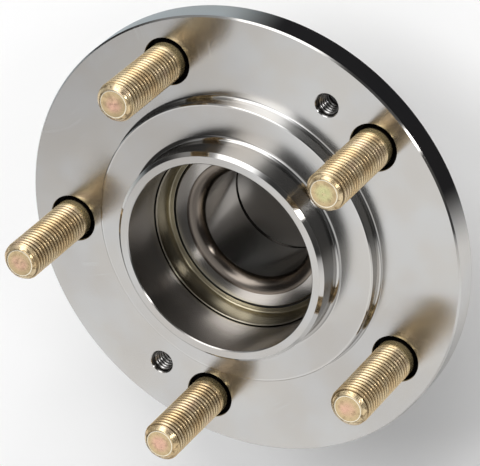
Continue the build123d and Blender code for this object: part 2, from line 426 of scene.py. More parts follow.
def groundHubSteel():
    s = hubSteel
    material, sheet, shader = newMetal("groundHubSteel")
    place, marks = placed(sheet)
    worn = sheet.group(handling, Place=place["Place"])
    radius, height = place["Radius"], place["Height"]
    studHole, screwHole = fromNearest(sheet, "studs"), fromNearest(sheet, "screws")
    # where each finish is, and where shade is painted
    bands = sheet.most(sheet.rise(radius, *s["rimBand"]), sheet.band(radius, *s["brakeBand"]),
                       sheet.band(radius, *s["wheelBand"]))
    bore = sheet.fall(radius, *s["boreWall"])
    back = sheet.times(sheet.fall(height, *s["backLevel"]), sheet.rise(radius, *s["backInside"]))
    # painted shade on the wheel pilot's wall
    wall = sheet.times(sheet.band(radius, *s["wallRadius"]), sheet.band(height, *s["wallHeight"]))
    # painted shade in the gap under the seal rim
    gapShade = sheet.times(bore, sheet.band(height, *s["gapShadeHeight"]))
    # painted shade in the counterbores and stud holes
    pocket = sheet.times(sheet.fall(studHole, *s["pocketEdge"]),
                         sheet.fall(height, *s["pocketTop"]))
    tapped = sheet.times(sheet.fall(screwHole, *s["tappedEdge"]),
                         sheet.fall(height, *s["tappedTop"]))
    # rub marks: arcs about a point off the hub, in patches
    arcs = sheet.noise(w=sheet.distance(place["Place"], s["scuffCentre"]), scale=s["scuffArcs"])
    scuff = sheet.times(sheet.rise(arcs, *s["scuffArcEdge"]),
                        sheet.spots(place["Place"], *s["scuffPatch"]))
    scuff = sheet.times(scuff, sheet.rise(radius, *s["scuffInside"]))
    base = sheet.mix(sheet.rise(marks["Cloud"], *s["warmEdge"]), s["face"], s["faceWarm"])
    lines = sheet.rise(marks["Fine"], *s["lineEdge"])
    # screw hole threads: painted highlight on the crests, painted shade in the roots
    thread = sheet.mix(sheet.rise(screwHole, *s["threadRise"]), s["threadCrestHighlight"], s["threadRootShade"])
    base = sheet.over(
        sheet.mix, base, (wall, s["wall"]), (back, s["back"]), (bore, s["bore"]), (gapShade, s["gapShade"]),
        (sheet.times(worn["Stain"], s["stainAmount"]), s["stain"]),
        (sheet.times(lines, s["lineAmount"]), s["lineShade"]),
        (sheet.times(scuff, s["scuffAmount"]), s["scuff"]),
        (pocket, s["counterbore"]), (tapped, thread))
    rough = sheet.over(
        sheet.lerp, s["faceRoughness"], (bands, s["bandRoughness"]),
        (sheet.times(scuff, s["scuffDulling"]), s["scuffRoughness"]),
        (bore, s["boreRoughness"]), (back, s["backRoughness"]),
        (pocket, s["pocketRoughness"]), (tapped, s["tappedRoughness"]))
    cloud = sheet.times(sheet.minus(marks["Cloud"], 0.5), s["cloudRoughness"])
    sheet.finish(shader, base, sheet.plus(rough, cloud))
    sheet.turned(shader, s["drawnOut"])
    depth = s["faceLines"]
    for mask, more in ((bands, "bandLines"), (back, "backLines"), (bore, "boreLines")):
        depth = sheet.plus(depth, sheet.times(mask, s[more]))
    sheet.bump(shader, (marks["Lines"], depth, marking["lineHeight"]),
               (worn["Scratch"], s["scratches"], marking["scratchHeight"]))
    return material


# Inner rings: a ground face, a brown unground corner with a painted dark reflection along its inner
# edge, a honed bore painted darker as shade, and painted shade in the groove where the rings meet.
ringSteel = {
    "ground": (0.62, 0.61, 0.59),
    "corner": (0.215, 0.186, 0.160),
    # painted reflection: a dark band along the corner's inner edge, next to the bore
    "cornerDarkReflection": (0.19, 0.155, 0.125),
    # painted shade: the bore's colour is darkened for the shade inside it
    "bore": (0.54, 0.52, 0.495),
    # painted shade: near black in the groove where the two rings meet
    "groove": (0.02, 0.018, 0.016),
    "stain": (0.27, 0.225, 0.18),
    "stainAmount": 0.42,
    "lineShade": (0.30, 0.27, 0.24),
    "lineAmount": 0.22,
    "cornerOutside": (21.95 * mm, 22.1 * mm),
    "cornerInside": (17.75 * mm, 18.8 * mm),
    "boreWall": (17.51 * mm, 17.56 * mm),
    "splitHeight": -31.0 * mm,
    "grooveHalf": (0.60 * mm, 0.68 * mm),
    "grooveRadius": (18.6 * mm, 18.8 * mm),
    "faceRoughness": 0.16,
    "cornerRoughness": 0.20,
    "boreRoughness": 0.19,
    "cloudRoughness": 0.08,
    "drawnOut": 0.80,
    "wearScale": 120.0,
    "lineEdge": (0.38, 0.62),
    "darkReflectionAmount": 0.8,
    "lines": 0.17,
    "scratches": 0.20,
}


def bearingSteel():
    s = ringSteel
    material, sheet, shader = newMetal("bearingSteel")
    place, marks = placed(sheet)
    worn = sheet.group(handling, Place=place["Place"], Scale=s["wearScale"])
    radius, height = place["Radius"], place["Height"]
    corner = sheet.fall(radius, *s["cornerOutside"])
    # painted dark reflection along the corner's inner edge
    inward = sheet.fall(radius, *s["cornerInside"])
    bore = sheet.fall(radius, *s["boreWall"])
    # painted shade in the groove where the rings meet
    away = sheet.math("ABSOLUTE", sheet.minus(height, s["splitHeight"]))
    groove = sheet.times(sheet.fall(away, *s["grooveHalf"]), sheet.fall(radius, *s["grooveRadius"]))
    lines = sheet.rise(marks["Fine"], *s["lineEdge"])
    base = sheet.over(
        sheet.mix, s["ground"], (corner, s["corner"]),
        (sheet.times(inward, s["darkReflectionAmount"]), s["cornerDarkReflection"]), (bore, s["bore"]),
        (sheet.times(worn["Stain"], s["stainAmount"]), s["stain"]),
        (sheet.times(lines, s["lineAmount"]), s["lineShade"]), (groove, s["groove"]))
    rough = sheet.over(sheet.lerp, s["faceRoughness"], (corner, s["cornerRoughness"]),
                       (bore, s["boreRoughness"]))
    cloud = sheet.times(sheet.minus(marks["Cloud"], 0.5), s["cloudRoughness"])
    sheet.finish(shader, base, sheet.plus(rough, cloud))
    sheet.turned(shader, s["drawnOut"])
    sheet.bump(shader, (marks["Lines"], s["lines"], marking["lineHeight"]),
               (worn["Scratch"], s["scratches"], marking["scratchHeight"]))
    return material


# Rollers and cages, seen only inside the bearing.
rollingParts = {
    "rollerLight": (0.66, 0.66, 0.66),
    "rollerDark": (0.55, 0.55, 0.55),
    "rollerEdge": (0.4, 0.6),
    "rollerRoughness": (0.05, 0.14),
    "cageLight": (0.46, 0.45, 0.43),
    "cageDark": (0.34, 0.33, 0.32),
    "cageEdge": (0.35, 0.65),
    "cageRoughness": (0.28, 0.45),
    "cageGrain": 1800.0,
    "cageBump": (0.2, 0.02 * mm),
}


def polishedRollerSteel():
    s = rollingParts
    material, sheet, shader = newMetal("polishedRollerSteel")
    cloud = placed(sheet)[1]["Cloud"]
    tone = sheet.mix(sheet.rise(cloud, *s["rollerEdge"]), s["rollerDark"], s["rollerLight"])
    sheet.finish(shader, tone, sheet.lerp(cloud, *s["rollerRoughness"]))
    return material


def pressedCageSteel():
    s = rollingParts
    material, sheet, shader = newMetal("pressedCageSteel")
    place, marks = placed(sheet)
    grain = sheet.noise(vector=place["Place"], scale=s["cageGrain"])
    tone = sheet.mix(sheet.rise(marks["Cloud"], *s["cageEdge"]), s["cageDark"], s["cageLight"])
    sheet.finish(shader, tone, sheet.lerp(grain, *s["cageRoughness"]))
    sheet.bump(shader, (grain, *s["cageBump"]))
    return material


# Seals: yellow zinc on folded sheet, and black rubber lips.
sealSheet = {
    "gold": (0.53, 0.48, 0.355),
    "olive": (0.36, 0.325, 0.24),
    "rim": (0.62, 0.58, 0.48),
    "wallStart": (27.9 * mm, 28.6 * mm),
    "rimStart": (-2.15 * mm, -2.0 * mm),
    "foldRings": (26.6 * mm, 27.7 * mm, 0.1 * mm),
    "ringPitch": 0.36 * mm,
    "roughness": (0.14, 0.30),
    "tint": (70.0, 3.0, 0.35, 0.65),
    "wallAmount": 0.5,
    "lines": 0.15,
    "ringBump": (0.5, 0.06 * mm),
    "rubber": (0.022, 0.022, 0.023),
    "rubberWorn": (0.04, 0.04, 0.04),
    "rubberRoughness": (0.45, 0.65),
    "rubberBump": (0.15, 0.03 * mm),
}


def oliveZinc():
    s = sealSheet
    material, sheet, shader = newMetal("oliveZinc")
    place, marks = placed(sheet)
    radius, height = place["Radius"], place["Height"]
    base = sheet.over(
        sheet.mix, s["olive"], (sheet.spots(place["Place"], *s["tint"]), s["gold"]),
        (sheet.times(sheet.rise(radius, *s["wallStart"]), s["wallAmount"]), s["olive"]),
        (sheet.rise(height, *s["rimStart"]), s["rim"]))
    sheet.finish(shader, base, sheet.lerp(marks["Cloud"], *s["roughness"]))
    wave = sheet.math("SINE", sheet.times(radius, 2 * math.pi / s["ringPitch"]))
    rings = sheet.times(wave, sheet.band(radius, *s["foldRings"]))
    sheet.bump(shader, (marks["Lines"], s["lines"], marking["lineHeight"]),
               (rings, *s["ringBump"]))
    return material


def blackRubber():
    s = sealSheet
    material, sheet, shader = newMetal("blackRubber", metallic=0.0)
    grain = sheet.noise(vector=sheet.group(axisPlace)["Place"], scale=900.0, detail=3.0)
    sheet.finish(shader, sheet.mix(grain, s["rubber"], s["rubberWorn"]),
                 sheet.lerp(grain, *s["rubberRoughness"]))
    sheet.bump(shader, (grain, *s["rubberBump"]))
    return material


# Turned pieces: the hub, the inner rings and the seal case, each as one fine turned surface.
turnedParts = {
    "around": 240,
    "studSteps": 72,
    "screwSteps": 48,
    "sharpAngle": 31,
    "edgeBreak": 0.07,
    "edgeSteps": 5,
    "roundSteps": 13,
    "support": 0.04,
    "longStraight": 0.3,
    "weld": 1e-7,
    "hub": [
        # radius, height and rounding of each corner of the section, in millimetres
        (30.2, 14.5), (32.4, 14.5), (33.45, 13.45), (33.45, 4.87, 1.5), (44.3, 4.87),
        (44.6, 4.57), (44.6, 0, 1.0), (69.35, 0), (69.85, -0.5), (69.85, -8.0), (68.65, -9.2),
        (40, -9.2, 4.0), (40, -22.2), (37, -25.2), (37, -52.4), (35.4, -54), (30, -54),
        (29.5, -53.5), (29.5, -47.789), (25.6, -33.075), (25.6, -28.925), (29.5, -14.211),
        (29.5, -3.2), (29.9, -1.6), (29.9, 14.2)],
    "ring": [
        (17.5, -30.4), (18.4, -31), (19.5, -31), (20.3, -30.2), (20.3, -25.7), (19.628, -25.7),
        (22.065, -13.341), (21.8, -13.141), (21.8, -12.441), (22.359, -12.541), (25.867, -13.351),
        (26.25, -12.951), (26.25, -8.1), (25.65, -7.5), (22.1, -7.5)],
    "ringCorner": ((22.1, -7.5), (18.847, -8.467), (17.5, -10.8)),
    "ringCornerSteps": 17,
    "ringSplit": -31.0,
    "seal": [
        (29.15, -1.9), (29.6, -1.9), (29.49, -3.1), (29.49, -9.4), (28.79, -9.4), (28.79, -5.9),
        (28.33, -8.2), (26.5, -8.2), (26.5, -7.5), (26.78, -7.5), (26.84, -7.56), (26.92, -7.56),
        (26.98, -7.5), (27.2, -7.5), (27.26, -7.56), (27.34, -7.56), (27.4, -7.5),
        (27.98, -7.5, 0.5)],
    "flatSeal": [
        (29.49, -50.5), (29.49, -53.6), (27.2, -53.6), (27.2, -52.9), (28.79, -52.9),
        (28.79, -50.5)],
    "counterbore": (7.45, 7.25, 6.35),
    "counterboreDepth": 3.5,
    "screwHole": (3.8, 3.4),
    "flangeBack": -9.2,
    "drilledWidth": 12,
}


def roundedCorner(before, corner, after, radius, steps):
    # The arc that touches both sides of a corner: its centre lies along the bisector, and its
    # points are a weighted sum of the two spokes, by the sines of the angles that are left.
    before, corner, after = np.array(before), np.array(corner), np.array(after)
    back = (before - corner) / np.linalg.norm(before - corner)
    on = (after - corner) / np.linalg.norm(after - corner)
    half = math.acos(max(-1.0, min(1.0, float(back @ on)))) / 2
    reach = radius / math.tan(half)
    centre = corner + (back + on) / np.linalg.norm(back + on) * radius / math.sin(half)
    first, last = corner + back * reach - centre, corner + on * reach - centre
    sweep = math.pi - 2 * half
    t = np.linspace(0, 1, steps)[:, None]
    return centre + (np.sin((1 - t) * sweep) * first + np.sin(t * sweep) * last) / math.sin(sweep)


def threePointArc(start, middle, finish, steps):
    # The circle through three points, walked from the first to the last.
    (ax, ay), (bx, by), (cx, cy) = start, middle, finish
    d = 2 * (ax * (by - cy) + bx * (cy - ay) + cx * (ay - by))
    a2, b2, c2 = ax * ax + ay * ay, bx * bx + by * by, cx * cx + cy * cy
    ux = (a2 * (by - cy) + b2 * (cy - ay) + c2 * (ay - by)) / d
    uy = (a2 * (cx - bx) + b2 * (ax - cx) + c2 * (bx - ax)) / d
    first, last = math.atan2(ay - uy, ax - ux), math.atan2(cy - uy, cx - ux)
    turn = np.linspace(first, last, steps)
    radius = math.hypot(ax - ux, ay - uy)
    return np.stack([ux + radius * np.cos(turn), uy + radius * np.sin(turn)], axis=-1)


def sectionLine(entries, extra=None):
    # The closed outline of a section: each corner is an arc, a tiny one where the drawing has a
    # sharp corner, and each long straight has a point close to both of its ends.  An extra arc
    # closes the outline between its last corner and its first.
    t = turnedParts
    count = len(entries)
    pieces = []
    for index, entry in enumerate(entries):
        before, after = entries[index - 1][:2], entries[(index + 1) % count][:2]
        if extra is not None and index == count - 1:
            after = tuple(extra[1])
        if extra is not None and index == 0:
            before = tuple(extra[-2])
        short = 0.25 * min(math.dist(before, entry[:2]), math.dist(after, entry[:2]))
        radius, steps = min(t["edgeBreak"], short), t["edgeSteps"]
        if len(entry) == 3:
            radius, steps = entry[2], t["roundSteps"]
        pieces.append(roundedCorner(before, entry[:2], after, radius, steps))
    if extra is not None:
        pieces[-1] = pieces[-1][:1]
        pieces.append(extra)
    line = np.vstack(pieces)
    following = np.roll(line, -1, axis=0)
    length = np.linalg.norm(following - line, axis=1)
    long = length > t["longStraight"]
    reach = np.where(long, t["support"], 0.0) / np.maximum(length, 1e-9)
    step = (following - line) * reach[:, None]
    trio = np.stack([line, line + step, following - step], axis=1)
    keep = np.stack([np.ones(len(line), bool), long, long], axis=1)
    return trio[keep]


def circlePoints(steps):
    angle = np.linspace(0, 2 * np.pi, steps, endpoint=False)
    return np.stack([np.cos(angle), np.sin(angle)], axis=-1)


def ringQuads(rows, around, joined):
    # Quads from each joined row of points to the next, all the way round.
    row, column = np.meshgrid(joined, np.arange(around), indexing="ij")
    below, beside = (row + 1) % rows, (column + 1) % around
    quads = np.stack([row * around + column, row * around + beside,
                      below * around + beside, below * around + column], axis=-1)
    return quads.reshape(-1, 4)


def turnedGrid(line, around, joined=None, centre=(0, 0)):
    # An outline turned about an upright axis: x is radius times cosine, y radius times sine.  Every
    # row is joined to the next and the last to the first, unless joined names fewer rows.
    line = np.array(line)[:, None, :]
    points = np.concatenate([centre + line[..., :1] * circlePoints(around),
                             np.repeat(line[..., 1:], around, axis=1)], axis=-1)
    joined = np.arange(len(line)) if joined is None else joined
    return points.reshape(-1, 3), ringQuads(len(line), around, joined)


def smoothPiece(name, mesh, sharpAngle, material):
    mesh.polygons.foreach_set("use_smooth", np.ones(len(mesh.polygons), bool))
    mesh.set_sharp_from_angle(angle=math.radians(sharpAngle))
    mesh.materials.append(material)
    return newObject(name, mesh)


def weldedPiece(name, parts, material):
    # One piece from several (points, faces) parts: shared points are merged, then the faces are
    # turned to point out of the closed body.
    offsets = np.cumsum([0] + [len(points) for points, faces in parts])
    points = np.vstack([points for points, faces in parts]) * mm
    faces = [face for offset, part in zip(offsets, parts) for face in (part[1] + offset).tolist()]
    mesh = bpy.data.meshes.new(name)
    mesh.from_pydata(points.tolist(), [], faces)
    body = bmesh.new()
    body.from_mesh(mesh)
    bmesh.ops.remove_doubles(body, verts=body.verts, dist=turnedParts["weld"])
    bmesh.ops.recalc_face_normals(body, faces=body.faces)
    body.to_mesh(mesh)
    body.free()
    return smoothPiece(name, mesh, turnedParts["sharpAngle"], material)


def holedFace(inner, outer, holes, level, around):
    # A flat ring with round holes: its circles are the borders of a triangulation, and the
    # triangles whose middles lie in a hole or off the ring are left out.
    loops = [circlePoints(around) * inner, circlePoints(around) * outer]
    loops += [np.array(centre) + radius * circlePoints(steps) for centre, radius, steps in holes]
    starts = np.cumsum([0] + [len(loop) for loop in loops])
    edges = np.vstack([np.stack([np.arange(len(loop)), np.roll(np.arange(len(loop)), -1)], axis=-1)
                       + start for loop, start in zip(loops, starts)])
    flat = np.vstack(loops)
    found = delaunay_2d_cdt([Vector(point) for point in flat], edges.tolist(), [], 0, 1e-6)
    points = np.array([tuple(point) for point in found[0]])
    faces = np.array(found[2])
    middle = points[faces].mean(axis=1)
    away = np.linalg.norm(middle, axis=1)
    keep = (away > inner * math.cos(math.pi / around)) & (away < outer)
    for centre, radius, steps in holes:
        reach = np.linalg.norm(middle - np.array(centre), axis=1)
        keep &= reach > radius * math.cos(math.pi / steps)
    return np.column_stack([points, np.full(len(points), level)]), faces[keep]


def makeHub(material):
    print("hub")
    t = turnedParts
    line = sectionLine(t["hub"])
    following = np.roll(line, -1, axis=0)
    level = np.abs(following[:, 1] - line[:, 1]) < 1e-6
    wide = np.abs(following[:, 0] - line[:, 0]) > t["drilledWidth"]
    # the wide flat faces, which the holes go through, are not turned but triangulated
    drilled = np.flatnonzero(level & wide)
    parts = [turnedGrid(line, t["around"], np.flatnonzero(~(level & wide)))]
    edge, wall, hole = t["counterbore"]
    mouth, thread = t["screwHole"]
    back, depth, flare = t["flangeBack"], t["counterboreDepth"], mouth - thread
    stepped = [(edge, 0), (wall, wall - edge), (wall, -depth), (hole, -depth), (hole, back)]
    plain = [(mouth, 0), (thread, -flare), (thread, back + flare), (mouth, back)]
    kinds = [(holeCentres("studs"), stepped, t["studSteps"]),
             (holeCentres("screws"), plain, t["screwSteps"])]
    for row in drilled:
        inner, outer = sorted((line[row, 0], following[row, 0]))
        end = 0 if line[row, 1] > back / 2 else -1
        holes = [(centre, outline[end][0], steps)
                 for centres, outline, steps in kinds for centre in centres]
        parts.append(holedFace(inner, outer, holes, line[row, 1], t["around"]))
    for centres, outline, steps in kinds:
        joined = np.arange(len(outline) - 1)
        parts += [turnedGrid(outline, steps, joined, centre) for centre in centres]
    piece = weldedPiece("turned_hub", parts, material)
    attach(piece, "hub")
    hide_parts("hub_flange")


def makeTurned(name, line, material, body, node):
    piece = weldedPiece(name, [turnedGrid(line, turnedParts["around"])], material)
    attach(piece, body)
    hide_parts(node)


def makeRings(material):
    print("inner rings")
    t = turnedParts
    line = sectionLine(t["ring"], threePointArc(*t["ringCorner"], t["ringCornerSteps"]))
    mirrored = line * np.array([1, -1]) + np.array([0, 2 * t["ringSplit"]])
    for side, outline in (("outboard", line), ("inboard", mirrored)):
        makeTurned(f"ground_ring_{side}", outline, material, "inner_rings", f"inner_ring_{side}")


def makeSeals(material):
    print("seal cases")
    for side, section in (("outboard", "seal"), ("inboard", "flatSeal")):
        makeTurned(f"pressed_seal_{side}", sectionLine(turnedParts[section]), material, "hub",
                   f"seal_case_{side}")


# Wheel studs: M12 x 1.5 rolled threads, yellow zinc with a passivated rainbow film.
stud = {
    "radius": 6.0 * mm,
    "tipRadius": 4.5 * mm,
    "tipChamfer": 1.5 * mm,
    "top": 31.8 * mm,
    "pitch": 1.5 * mm,
    "threadDepth": 0.82 * mm,
    "faceRadius": 4.1 * mm,
    "faceRound": 0.35 * mm,
    "threadStart": 2.6 * mm,
    "runOut": 1.5 * mm,
    "neckTop": -3.5 * mm,
    "neckRadius": 6.33 * mm,
    "knurlDepth": 0.10 * mm,
    "knurlCount": 48,
    "flangeBack": turnedParts["flangeBack"] * mm,
    "headBack": -12.8 * mm,
    "headRadius": 9.5 * mm,
    "headEdge": 0.6 * mm,
    "headFace": (0.30, 0.78),
    "crestShare": 0.10,
    "flankShare": 0.80,
    "endDish": [(0.97, 0.0), (0.90, 0.02), (0.45, 0.05), (0.10, 0.07)],
    "around": 96,
    "rowsPerTurn": 14,
    "turnBetween": 1.7,
    "sharpAngle": 55,
    "metallic": 0.80,
    "gold": (0.78, 0.57, 0.315),
    "pale": (0.84, 0.69, 0.44),
    "pink": (0.80, 0.49, 0.36),
    "green": (0.66, 0.63, 0.33),
    "tan": (0.64, 0.49, 0.28),
    "neck": (0.56, 0.445, 0.225),
    # painted shade in the thread roots; also the colour of real grime on the tip and end face
    "rootShadeAndGrime": (0.14, 0.085, 0.035),
    "shade": (0.012, 0.010, 0.008),
    # painted highlight: a bright thin ring round the edge of the end face
    "rim": (0.95, 0.86, 0.68),
    "greenStud": 3,
    "greenReach": (7 * mm, 8 * mm),
    "grime": (700.0, 3.0, 0.52, 0.66),
    "tipGrime": 0.7,
    "endGrime": 0.25,
    "neckAmount": 0.8,
    "paleFilm": (0.36, 0.62),
    "pinkFilm": (0.50, 0.72),
    "tanFilm": (0.44, 0.62),
    "greenFilm": (0.36, 0.50),
    "greenSpeck": (0.55, 0.75),
    "pinkAmount": 0.35,
    "greenAmount": 0.25,
    "tanAmount": 0.5,
    "endFade": 0.15 * mm,
    "rimHighlightEdge": (0.14 * mm, 0.10 * mm, 0.06 * mm),
    "filmScale": 150.0,
    "speckScale": 1300.0,
    "dentScale": 420.0,
    "centreInside": (1.2 * mm, 3.6 * mm),
    "tipBelow": (1.5 * mm, 0.9 * mm),
    "crestBelow": (0.70 * mm, 0.06 * mm),
    "shankBelow": (0.9 * mm, 0.82 * mm),
    "neckAbove": (-0.2 * mm, 0.6 * mm),
    "sunkStart": (-9.1 * mm, -8.9 * mm),
    "sunkEnd": (-0.25 * mm, 0.30 * mm),
    "roughness": (0.16, 0.34),
    "speckBump": (0.22, 0.04 * mm),
    "dentBump": (0.30, 0.10 * mm),
}


def goldZinc():
    s = stud
    material, sheet, shader = newMetal("goldZinc", metallic=s["metallic"])
    place = sheet.group(axisPlace)
    height, distance = place["Height"], fromNearest(sheet, "studs")
    film, speck, dents = [sheet.noise(vector=place["Place"], scale=s[scale])
                          for scale in ("filmScale", "speckScale", "dentScale")]
    grime = sheet.spots(place["Place"], *s["grime"])
    # where each tone is
    face, radius = s["faceRadius"], s["radius"]
    end = sheet.fall(distance, face - s["endFade"], face)
    centre = sheet.fall(distance, *s["centreInside"])
    tip = sheet.rise(height, *[s["top"] - drop for drop in s["tipBelow"]])
    crest = sheet.rise(distance, *[radius - drop for drop in s["crestBelow"]])
    shank = sheet.fall(distance, *[radius - drop for drop in s["shankBelow"]])
    neck = sheet.fall(height, *[s["threadStart"] + up for up in s["neckAbove"]])
    sunk = sheet.times(sheet.rise(height, *s["sunkStart"]), sheet.fall(height, *s["sunkEnd"]))
    # painted highlight round the end face's edge
    inner, outer, soft = s["rimHighlightEdge"]
    rim = sheet.band(distance, face - inner, face + outer, soft)
    green = sheet.fall(sheet.distance(
        place["Place"], (*holeCentres("studs", mm)[s["greenStud"]], s["top"])), *s["greenReach"])
    raised = sheet.most(crest, tip, shank)
    # plating: gold with pale, pink and green patches, and painted shade in the thread roots
    base = sheet.over(
        sheet.mix, s["gold"], (sheet.rise(film, *s["paleFilm"]), s["pale"]),
        (sheet.times(sheet.rise(film, *s["pinkFilm"]), s["pinkAmount"]), s["pink"]),
        (sheet.times(sheet.rise(speck, *s["greenSpeck"]), s["greenAmount"]), s["green"]))
    base = sheet.mix(raised, s["rootShadeAndGrime"], base)
    # end face: patches in the middle, tan round them
    endTint = sheet.over(
        sheet.mix, s["pink"],
        (sheet.times(sheet.rise(film, *s["tanFilm"]), s["tanAmount"]), s["tan"]),
        (sheet.times(green, sheet.rise(film, *s["greenFilm"])), s["green"]))
    endTint = sheet.mix(centre, s["tan"], endTint)
    endTint = sheet.mix(sheet.times(grime, s["endGrime"]), endTint, s["rootShadeAndGrime"])
    base = sheet.over(
        sheet.mix, base, (sheet.times(sheet.times(grime, tip), s["tipGrime"]), s["rootShadeAndGrime"]),
        (end, endTint), (sheet.times(rim, tip), s["rim"]),
        (sheet.times(neck, s["neckAmount"]), s["neck"]), (sunk, s["shade"]))
    sheet.finish(shader, base, sheet.lerp(speck, *s["roughness"]))
    sheet.bump(shader, (speck, *s["speckBump"]), (dents, *s["dentBump"]))
    return material


def plantedPiece(name, grid, centre, sharpAngle, material):
    # A closed tube of quads about a hole's centre, from rows of points (rows, around, 3); each end
    # is a fan to its middle.
    grid[..., :2] += centre
    rows, around = grid.shape[:2]
    points = np.vstack([grid.reshape(-1, 3), grid[0].mean(axis=0), grid[-1].mean(axis=0)])
    faces = ringQuads(rows, around, np.arange(rows - 1)).tolist()
    count, last = rows * around, (rows - 1) * around
    faces += [((a + 1) % around, a, count) for a in range(around)]
    faces += [(last + a, last + (a + 1) % around, count + 1) for a in range(around)]
    mesh = bpy.data.meshes.new(name)
    mesh.from_pydata(points.tolist(), [], faces)
    return smoothPiece(name, mesh, sharpAngle, material)


def studPoints(turn):
    # Rows of radius against height, from the head's back to the tip.  Along the thread the radius
    # drops by the depth times a rounded triangle wave of height over pitch less the angle, and the
    # drop fades out over the run-out.  The tip's outline is a cone that ends in a quarter round.
    # The neck's radius ripples with the knurl.  The end face dips a little: each entry of endDish
    # is a share of the face's radius and a depth in millimetres.
    s = stud
    angle = np.linspace(0, 2 * np.pi, s["around"], endpoint=False)
    wide, edge, low, high = s["headRadius"], s["headEdge"], s["headBack"], s["flangeBack"]
    head = np.array([
        *[(share * wide, low) for share in s["headFace"]], (wide - edge, low),
        (wide - 0.3 * edge, low + 0.15 * edge), (wide, low + edge), (wide, high - 0.3 * edge),
        (wide - 0.3 * edge, high), (s["neckRadius"], high)])
    headRows = np.repeat(head[:, None, 0], s["around"], axis=1)
    neckHeights = np.array([s["flangeBack"] + 0.01 * mm, s["neckTop"] - 0.3 * mm, s["neckTop"]])
    ripple = s["knurlDepth"] * (0.5 + 0.5 * np.cos(s["knurlCount"] * angle))
    neckRows = s["neckRadius"] - np.array([1.0, 1.0, 2.0])[:, None] * ripple[None, :]
    plainHeights = np.array([s["neckTop"] + 0.05 * mm, s["threadStart"] - 0.1 * mm])
    plainRows = np.full((2, s["around"]), s["radius"] - 0.02 * mm)
    count = int((s["top"] - s["threadStart"]) / s["pitch"] * s["rowsPerTurn"])
    heights = np.linspace(s["threadStart"], s["top"], count)
    phase = heights[:, None] / s["pitch"] - (angle[None, :] + turn) / (2 * np.pi)
    wave = np.abs(2 * (phase - np.floor(phase)) - 1)
    groove = np.clip((wave - s["crestShare"]) / s["flankShare"], 0, 1)
    groove = groove * groove * (3 - 2 * groove)
    fade = np.clip((heights - s["threadStart"]) / s["runOut"], 0, 1)[:, None]
    drop = s["top"] - heights
    outline = s["tipRadius"] + drop * (s["radius"] - s["tipRadius"]) / s["tipChamfer"]
    inRound = np.clip(drop / s["faceRound"], 0, 1)
    curl = s["faceRadius"] + (s["tipRadius"] + s["faceRound"] - s["faceRadius"]) * np.sqrt(
        1 - (1 - inRound) ** 2)
    outline = np.where(inRound < 1, np.minimum(outline, curl), outline)
    threadRows = np.minimum(np.minimum(s["radius"], outline)[:, None],
                            s["radius"] - s["threadDepth"] * groove * fade)
    dent = 0.5 + 0.5 * np.cos(3 * angle + turn)
    share, depth = np.array(s["endDish"]).T[:, :, None]
    faceRows = share * threadRows[-1][None, :]
    faceHeights = s["top"] - depth * mm * (0.6 + 0.4 * dent)
    radius = np.vstack([headRows, neckRows, plainRows, threadRows, faceRows])
    level = np.concatenate([head[:, 1], neckHeights, plainHeights, heights])
    height = np.vstack([np.repeat(level[:, None], s["around"], axis=1), faceHeights])
    return np.stack([radius * np.cos(angle), radius * np.sin(angle), height], axis=-1)


def makeStuds(material):
    print("studs")
    for index, centre in enumerate(holeCentres("studs", mm)):
        points = studPoints(stud["turnBetween"] * index)
        piece = plantedPiece(f"threaded_stud_{index + 1}", points, centre, stud["sharpAngle"],
                             material)
        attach(piece, "hub")
        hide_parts(f"wheel_stud_{index + 1}")


# Threads in the two screw holes: a ridge wound up the wall of each.
screwThread = {
    "wall": 3.4 * mm,
    "ridge": 0.42 * mm,
    "foot": 0.42,
    "crest": 0.10,
    "pitch": 1.25 * mm,
    "top": -0.7 * mm,
    "bottom": -8.5 * mm,
    "perTurn": 40,
    "sharpAngle": 40,
}


def ridgePoints():
    # Stations along a helix; at each, a small ridge across it points at the hole's axis, and
    # shrinks to nothing over the first and last half turn.  Foot and crest are the ridge's half
    # widths in pitches.
    s = screwThread
    turns = (s["top"] - s["bottom"]) / s["pitch"]
    count = int(turns * s["perTurn"])
    run = np.linspace(0, turns, count)
    grow = np.clip(np.minimum(run, turns - run) / 0.5, 0.02, 1)
    across = np.array([-s["foot"], -s["crest"], s["crest"], s["foot"]]) * s["pitch"]
    inward = np.array([0.0, 1.0, 1.0, 0.0]) * s["ridge"]
    radius = s["wall"] - inward[None, :] * grow[:, None]
    height = s["bottom"] + run[:, None] * s["pitch"] + across[None, :] * grow[:, None]
    angle = 2 * np.pi * run[:, None]
    return np.stack([radius * np.cos(angle), radius * np.sin(angle), height], axis=-1)


def makeScrewThreads(material):
    print("screw hole threads")
    for index, centre in enumerate(holeCentres("screws", mm)):
        piece = plantedPiece(f"screw_hole_thread_{index + 1}", ridgePoints(), centre,
                             screwThread["sharpAngle"], material)
        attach(piece, "hub")


print("materials")
hubMaterial = groundHubSteel()
give(pressedCageSteel(), "roller_cage_outboard", "roller_cage_inboard")
give(polishedRollerSteel(),
     *[name for name in nodes if name.startswith("roller_") and "cage" not in name])
give(blackRubber(), "seal_lip_outboard", "seal_lip_inboard")
makeHub(hubMaterial)
makeRings(bearingSteel())
makeSeals(oliveZinc())
makeStuds(goldZinc())
makeScrewThreads(hubMaterial)


